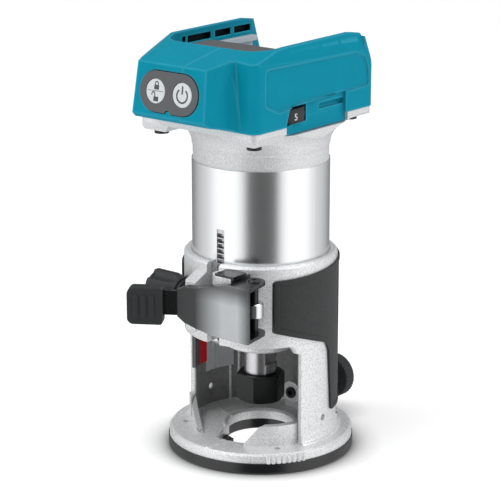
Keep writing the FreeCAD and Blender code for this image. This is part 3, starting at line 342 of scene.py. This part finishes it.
TEAL = (0.0024, 0.228, 0.326)
materials = {
    # teal: a strong painted highlight on its edges, and painted shade in the battery bay's pockets
    "teal_plastic": moulded("teal_plastic", TEAL, 0.30, 2300, 0.014, 0.9, 0.03, 0.55, pockets=True),
    "black_plastic": moulded("black_plastic", (0.022, 0.024, 0.025), 0.46, 2000, 0.020, 0.4, 0.35),
    "dark_grey_plastic": moulded("dark_grey_plastic", (0.085, 0.085, 0.09), 0.48, 2200, 0.016, 0.3),
    "light_grey_plastic": moulded("light_grey_plastic", (0.50, 0.52, 0.53), 0.40, 2400, 0.010, 0.3),
    "panel_grey": moulded("panel_grey", (0.072, 0.075, 0.078), 0.40, 2400, 0.010, 0.25),
    "white_plastic": moulded("white_plastic", (0.56, 0.59, 0.60), 0.28, 1800, 0.004, 0.2, 0.4, 0.0),
    "red_plastic": moulded("red_plastic", (0.62, 0.006, 0.014), 0.30, 1800, 0.004, 0.2, 0.4),
    "cast_aluminium": cast("cast_aluminium", (0.86, 0.87, 0.875)),
    "turned_aluminium": turned_tube("turned_aluminium"),
    "steel": ground_metal("steel", (0.60, 0.60, 0.61), 0.26),
    "bright_steel": ground_metal("bright_steel", (0.75, 0.75, 0.76), 0.14),
    "black_oxide": ground_metal("black_oxide", (0.045, 0.047, 0.046), 0.34, (500, 500, 500), 0.35, 0.010),
    "silicon_steel": ground_metal("silicon_steel", (0.32, 0.32, 0.33), 0.4, (20, 20, 2600), 0.1, 0.03),
    "brass": ground_metal("brass", (0.78, 0.56, 0.24), 0.25),
    "black_steel": coated_sheet("black_steel"),
    "grip_elastomer": elastomer("grip_elastomer", (0.018, 0.020, 0.020)),
    "copper_wire": windings("copper_wire"),
    "circuit_board": board("circuit_board"),
}


def base_plate_material():
    """Filled resin plate: dark, with a soft lathe sheen on its rim and a scuffed sole."""
    g = Graph("base_plate_resin")
    rings = g.noise(1.0, 4.0, stretch=(40, 40, 6000))
    fibre = g.noise(900, 4.0, rough=0.7)
    base = g.mix(fibre, (0.004, 0.0045, 0.005), (0.010, 0.011, 0.012))
    g.set("Base Color", g.mix(g.math("MULTIPLY", g.edge_wear_and_sheen(0.6 * MM), 0.2), base, (0.08, 0.08, 0.08)))
    g.set("Roughness", g.ramp(rings, 0.16, 0.30))
    g.set("Specular IOR Level", 0.55)
    g.set("Normal", g.bump(rings, 0.006 * MM, g.edges(0.35 * MM)))
    return g.material


materials["base_plate_resin"] = base_plate_material()
SLOTS = {row["node"]: row["material_slot"] for row in frame["record"]["subparts"]}


def paint_nodes():
    for name, obj in nodes.items():
        chosen = "base_plate_resin" if name == "base_plate" else SLOTS[name]
        obj.data.materials.clear()
        obj.data.materials.append(materials[chosen])


paint_nodes()


# ---- printed marks on the buttons and the dial --------------------------------
# The buttons' print is in millimetres on the button's face. PANEL_CENTRE and the digits are in metres.
PANEL_CENTRE = Vector((0.0, -63.7, 181.8)) * MM
PANEL_TILT = math.radians(-7.5)
BUTTON_X = 7.8
PRINT_Y = -0.45           # outer face of a button, in front of the panel plane
PRINT_UP = 0.04           # thickness of the print
POWER_RADIUS = 3.05
POWER_STROKE = 0.80
LOCK_STROKE = 0.52
DIAL_MARKS = "543216"
FIRST_DIGIT_DEG = -10.0
DIGIT_STEP_DEG = 52
DIGIT_SIZE = 4.3 * MM
DIGIT_DROP = -0.5 * MM

ink = moulded("ink_grey", (0.060, 0.064, 0.066), 0.45, 1800, 0.002, 0.05, 0.3, 0.0)
dial_ink = moulded("dial_ink", (0.72, 0.74, 0.74), 0.45, 1800, 0.002, 0.05, 0.3, 0.0)


def panel_matrix(x):
    """From millimetres on a button's face, X right and Z up, to the part's own frame."""
    turn = Matrix.Rotation(PANEL_TILT, 4, "X")
    return Matrix.Translation(PANEL_CENTRE) @ turn @ Matrix.Scale(MM, 4) @ Matrix.Translation((x, PRINT_Y, 0))


def ribbon(mesh, points, width, closed=False):
    """A flat stroke of even width through points in the XZ plane, raised towards -Y."""
    count = len(points)
    left, right = [], []
    for i, p in enumerate(points):
        before = points[(i - 1) % count] if closed or i else p
        after = points[(i + 1) % count] if closed or i < count - 1 else p
        along = (Vector(after) - Vector(before)).normalized()
        side = Vector((-along.y, along.x)) * width / 2
        left.append(Vector(p) + side)
        right.append(Vector(p) - side)
    rows = []
    for a, b in zip(left, right):
        rows.append([mesh.verts.new((q.x, y, q.y)) for y in (0.0, -PRINT_UP) for q in (a, b)])
    spans = range(count if closed else count - 1)
    for i in spans:
        r, s = rows[i], rows[(i + 1) % count]
        for a, b in ((0, 1), (1, 3), (3, 2), (2, 0)):
            mesh.faces.new((r[a], r[b], s[b], s[a]))
    if not closed:
        for r in (rows[0], rows[-1]):
            mesh.faces.new((r[0], r[1], r[3], r[2]))


def slab(mesh, x0, x1, z0, z1, corner=0.25):
    """A rounded flat rectangle in the XZ plane."""
    loop = []
    for cx, cz, start in ((x1 - corner, z1 - corner, 0), (x0 + corner, z1 - corner, 90),
                          (x0 + corner, z0 + corner, 180), (x1 - corner, z0 + corner, 270)):
        for k in range(5):
            a = math.radians(start + 22.5 * k)
            loop.append((cx + corner * math.cos(a), cz + corner * math.sin(a)))
    low = [mesh.verts.new((x, 0.0, z)) for x, z in loop]
    high = [mesh.verts.new((x, -PRINT_UP, z)) for x, z in loop]
    mesh.faces.new(low)
    mesh.faces.new(list(reversed(high)))
    for i in range(len(loop)):
        j = (i + 1) % len(loop)
        mesh.faces.new((low[i], low[j], high[j], high[i]))


def arc(x, z, r, start, end, steps=20):
    points = []
    for k in range(steps + 1):
        a = math.radians(start + (end - start) * k / steps)
        points.append((x + r * math.cos(a), z + r * math.sin(a)))
    return points


def finish_mesh(mesh, name, matrix, material, body):
    bmesh.ops.recalc_face_normals(mesh, faces=mesh.faces)
    data = bpy.data.meshes.new(name)
    mesh.to_mesh(data)
    mesh.free()
    data.transform(matrix)
    data.materials.append(material)
    obj = bpy.data.objects.new(name, data)
    scene.collection.objects.link(obj)
    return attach(obj, body)


def power_symbol():
    mesh = bmesh.new()
    ribbon(mesh, arc(0, -0.3, POWER_RADIUS, 126, 414, 40), POWER_STROKE)
    ribbon(mesh, [(0, 0.4), (0, 4.0)], POWER_STROKE)
    finish_mesh(mesh, "power_mark", panel_matrix(BUTTON_X), ink, "power_button")


def padlock(mesh, x, z, opened):
    """A padlock round x, z. An opened one has its hoop swung to the left."""
    slab(mesh, x - 1.40, x + 1.40, z - 1.15, z + 0.90)
    if opened:
        hoop = [(x - 2.50, z + 1.4)] + arc(x - 1.65, z + 2.05, 0.85, 180, 0, 12) + [(x - 0.80, z + 0.8)]
    else:
        hoop = [(x - 0.86, z + 0.8)] + arc(x, z + 1.55, 0.86, 180, 0, 12) + [(x + 0.86, z + 0.8)]
    ribbon(mesh, hoop, LOCK_STROKE)


def lock_symbol():
    mesh = bmesh.new()
    padlock(mesh, 0.5, 1.9, False)
    padlock(mesh, 0.5, -3.3, True)
    ribbon(mesh, [(-4.6, 0.15), (4.6, 0.15)], 0.22)
    finish_mesh(mesh, "lock_mark", panel_matrix(-BUTTON_X), ink, "lock_button")


def dial_digits():
    """Speed numbers wrapped round the rim of the dial."""
    lo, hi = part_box("speed_dial")
    centre = (lo + hi) / 2
    radius = (hi.x - lo.x) / 2
    for k, digit in enumerate(DIAL_MARKS):
        curve = bpy.data.curves.new("digit_" + digit, "FONT")
        curve.body = digit
        curve.size = DIGIT_SIZE
        curve.align_x = "CENTER"
        curve.align_y = "CENTER"
        curve.extrude = 0.03 * MM
        holder = bpy.data.objects.new("digit", curve)
        scene.collection.objects.link(holder)
        bpy.context.view_layer.update()
        data = bpy.data.meshes.new_from_object(holder.evaluated_get(bpy.context.evaluated_depsgraph_get()))
        bpy.data.objects.remove(holder)
        turn = math.radians(FIRST_DIGIT_DEG + DIGIT_STEP_DEG * k)
        for v in data.vertices:
            a = v.co.x / radius + turn
            r = radius + 0.02 * MM + v.co.z
            v.co = centre + Vector((r * math.cos(a), r * math.sin(a), v.co.y + DIGIT_DROP))
        data.materials.append(dial_ink)
        obj = bpy.data.objects.new("dial_digit_" + str(k + 1), data)
        scene.collection.objects.link(obj)
        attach(obj, "speed_dial")


power_symbol()
lock_symbol()
dial_digits()


# ---- floor, light and camera -----------------------------------------------------
FLOOR_HALF = 4.0
FLOOR_Z = -0.0002
BRIGHT_RADIUS = (0.0165, 0.0175)    # painted light: the paper seen through the opening of the base plate glows at full strength


def stage_floor():
    """Pale paper with a painted contact shadow where the object stands close over it, and a painted glow
    under the opening of the base plate.
    """
    mesh = bmesh.new()
    signs = [(-1, -1), (1, -1), (1, 1), (-1, 1)]
    mesh.faces.new([mesh.verts.new((x * FLOOR_HALF, y * FLOOR_HALF, FLOOR_Z)) for x, y in signs])
    data = bpy.data.meshes.new("floor")
    mesh.to_mesh(data)
    mesh.free()
    g = Graph("floor_paper")
    contact = g.add("ShaderNodeAmbientOcclusion", samples=8)
    contact.inputs["Distance"].default_value = 0.016
    # painted shadow: ambient occlusion darkens the paper and dims its glow near the object
    open_sky = g.ramp(contact.outputs["AO"], 0.15, 1.0, at=(0.45, 0.98))
    # painted light: full glow on the paper under the opening of the base plate
    under = g.ramp(g.radius(), 1.0, 0.0, at=BRIGHT_RADIUS)
    paper = g.mix(g.noise(8, 2.0), (0.90, 0.90, 0.90), (0.93, 0.93, 0.93))
    g.set("Base Color", g.mix(open_sky, (0.02, 0.02, 0.02), paper))
    g.set("Roughness", 0.9)
    g.set("Specular IOR Level", 0.1)
    g.set("Emission Color", (1.0, 1.0, 1.0))
    g.set("Emission Strength", g.math("MAXIMUM", g.math("MULTIPLY", open_sky, 0.22), under))
    data.materials.append(g.material)
    obj = bpy.data.objects.new("floor", data)
    obj.visible_glossy = False
    scene.collection.objects.link(obj)


# Degrees and metres. Azimuth 0 is in front of the object, on its -Y side, and 90 is on its right.
CAMERA_AZIMUTH = 39.5
CAMERA_ELEVATION = 15.87
CAMERA_DISTANCE = 0.95083
CAMERA_TARGET = Vector((-3.95, -3.26, 96.25)) * MM
GAP_AZIMUTH = 41.0        # middle of the dim gap between the white walls
LIGHT_TARGET = Vector((0, 0, 0.1))
# Brightness of the walls, from opposite the gap, at 0, round to the gap, at 1
WALL_LEVELS = [(0.0, 0.24), (0.06, 0.28), (0.20, 0.62), (0.45, 0.90), (0.58, 1.30),
               (0.86, 1.35), (0.925, 1.08), (0.960, 0.14), (1.0, 0.12)]


def studio_world():
    """White surround for sight; for light, soft white walls with a dim gap where the camera stands."""
    world = bpy.data.worlds.new("studio")
    world.use_nodes = True
    tree = world.node_tree
    tree.nodes.clear()

    def add(kind, **settings):
        node = tree.nodes.new(kind)
        for key, value in settings.items():
            setattr(node, key, value)
        return node

    def calc(operation, a, b=0.0):
        node = add("ShaderNodeMath", operation=operation)
        for socket, value in zip(node.inputs, (a, b)):
            if isinstance(value, bpy.types.NodeSocket):
                tree.links.new(value, socket)
            else:
                socket.default_value = value
        return node.outputs[0]

    split = add("ShaderNodeSeparateXYZ")
    tree.links.new(add("ShaderNodeTexCoord").outputs["Generated"], split.inputs[0])
    x, y, z = split.outputs
    a = math.radians(GAP_AZIMUTH)
    towards = calc("ADD", calc("MULTIPLY", x, math.sin(a)), calc("MULTIPLY", y, -math.cos(a)))
    flat = calc("SQRT", calc("ADD", calc("MULTIPLY", x, x), calc("MULTIPLY", y, y)))
    cosine = calc("DIVIDE", towards, calc("MAXIMUM", flat, 0.001))
    around = add("ShaderNodeValToRGB")
    tree.links.new(calc("ADD", calc("MULTIPLY", cosine, 0.5), 0.5), around.inputs[0])
    ramp = around.color_ramp
    ramp.elements[0].position, ramp.elements[1].position = WALL_LEVELS[0][0], WALL_LEVELS[-1][0]
    for position, level in WALL_LEVELS[1:-1]:
        ramp.elements.new(position)
    for element, (position, level) in zip(ramp.elements, WALL_LEVELS):
        element.position = position
        element.color = (level, level, level * 1.01, 1.0)
    top = add("ShaderNodeMapRange", clamp=True)
    tree.links.new(z, top.inputs["Value"])
    top.inputs["From Min"].default_value = 0.72
    top.inputs["From Max"].default_value = 0.95
    mix = add("ShaderNodeMix", data_type="RGBA")
    tree.links.new(top.outputs[0], mix.inputs["Factor"])
    tree.links.new(around.outputs[0], mix.inputs[6])
    mix.inputs[7].default_value = (1.15, 1.15, 1.16, 1.0)
    light = add("ShaderNodeBackground")
    tree.links.new(mix.outputs[2], light.inputs["Color"])
    light.inputs["Strength"].default_value = 0.95
    white = add("ShaderNodeBackground")
    white.inputs["Color"].default_value = (1.0, 1.0, 1.0, 1.0)
    white.inputs["Strength"].default_value = 1.0
    sight = add("ShaderNodeMixShader")
    tree.links.new(add("ShaderNodeLightPath").outputs["Is Camera Ray"], sight.inputs[0])
    tree.links.new(light.outputs[0], sight.inputs[1])
    tree.links.new(white.outputs[0], sight.inputs[2])
    tree.links.new(sight.outputs[0], add("ShaderNodeOutputWorld").inputs["Surface"])
    scene.world = world


def place(name, data, target, azimuth, elevation, distance):
    """Stands a camera or a light back from its target in this direction, looking at it."""
    a, e = math.radians(azimuth), math.radians(elevation)
    back = Vector((math.sin(a) * math.cos(e), -math.cos(a) * math.cos(e), math.sin(e)))
    obj = bpy.data.objects.new(name, data)
    obj.location = target + back * distance
    obj.rotation_mode = "QUATERNION"
    obj.rotation_quaternion = (-back).to_track_quat("-Z", "Y")
    scene.collection.objects.link(obj)
    return obj


def area_light(name, azimuth, elevation, distance, size, power):
    data = bpy.data.lights.new(name, "AREA")
    data.shape = "RECTANGLE"
    data.size, data.size_y = size
    data.energy = power
    place(name, data, LIGHT_TARGET, azimuth, elevation, distance)


def camera():
    data = bpy.data.cameras.new("camera")
    data.sensor_width = 36.0
    data.lens = 144.3
    data.clip_start = 0.05
    data.clip_end = 20.0
    scene.camera = place("camera", data, CAMERA_TARGET, CAMERA_AZIMUTH, CAMERA_ELEVATION, CAMERA_DISTANCE)


stage_floor()
studio_world()
area_light("key", -25, 55, 1.1, (0.7, 0.5), 4.0)
area_light("fill", 110, 45, 1.2, (0.6, 0.6), 2.5)
camera()
scene.view_settings.view_transform = "Standard"
